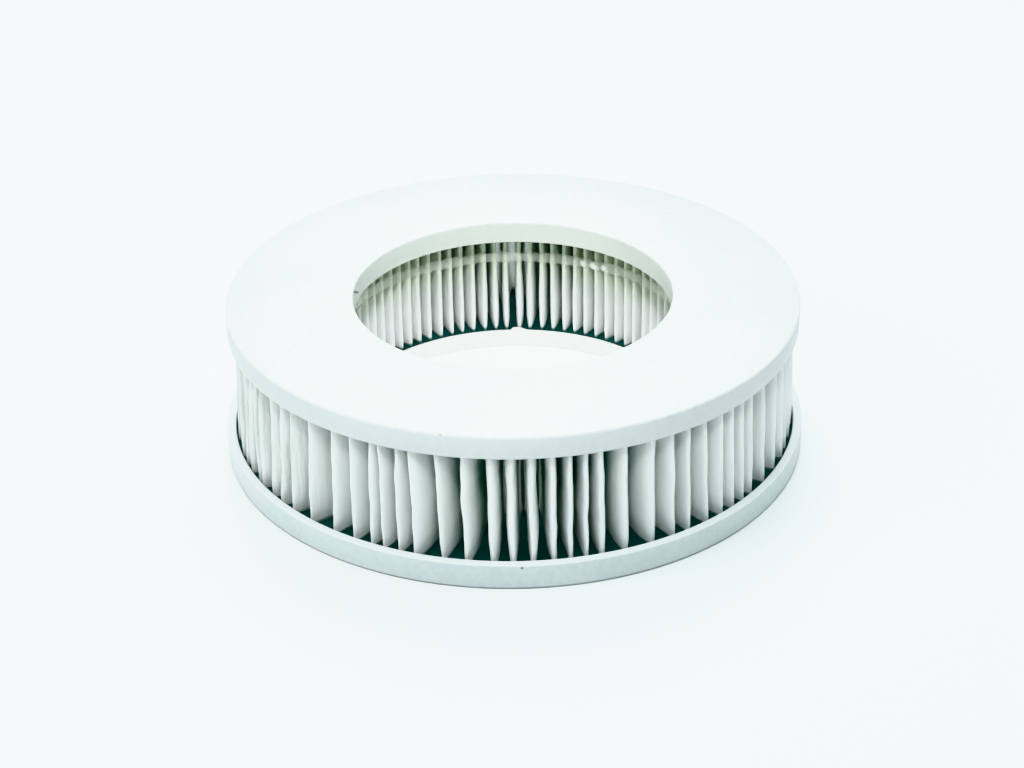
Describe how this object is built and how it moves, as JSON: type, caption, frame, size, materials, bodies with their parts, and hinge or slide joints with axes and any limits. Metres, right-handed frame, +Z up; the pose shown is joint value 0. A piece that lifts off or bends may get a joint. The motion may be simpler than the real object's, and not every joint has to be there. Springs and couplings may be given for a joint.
{
  "type": "vacuum cleaner hepa filter",
  "caption": "Ring-shaped pleated paper filter cartridge, potted between two white moulded ring trays, with a hole through its middle.",
  "frame": {"origin": "middle of the flat face that the filter stands on, on the axis of its hole", "axes": "+Z up the axis of the ring, from the bottom tray to the top tray; X and Y are alike"},
  "size_m": [0.1948, 0.1948, 0.0528],
  "materials": {
    "white_plastic": "moulded, satin white",
    "filter_paper": "pleated glass-fibre filter paper, matt off-white",
    "green_adhesive": "cast adhesive, dark green, slightly glossy",
    "clear_hot_melt": "hot-melt bead, pale and glossy"
  },
  "bodies": {
    "root": {"top_end_cap": "white_plastic", "bottom_end_cap": "white_plastic", "pleated_media": "filter_paper", "top_potting": "green_adhesive", "bottom_potting": "green_adhesive", "spacer_bead": "clear_hot_melt"}
  },
  "joints": []
}
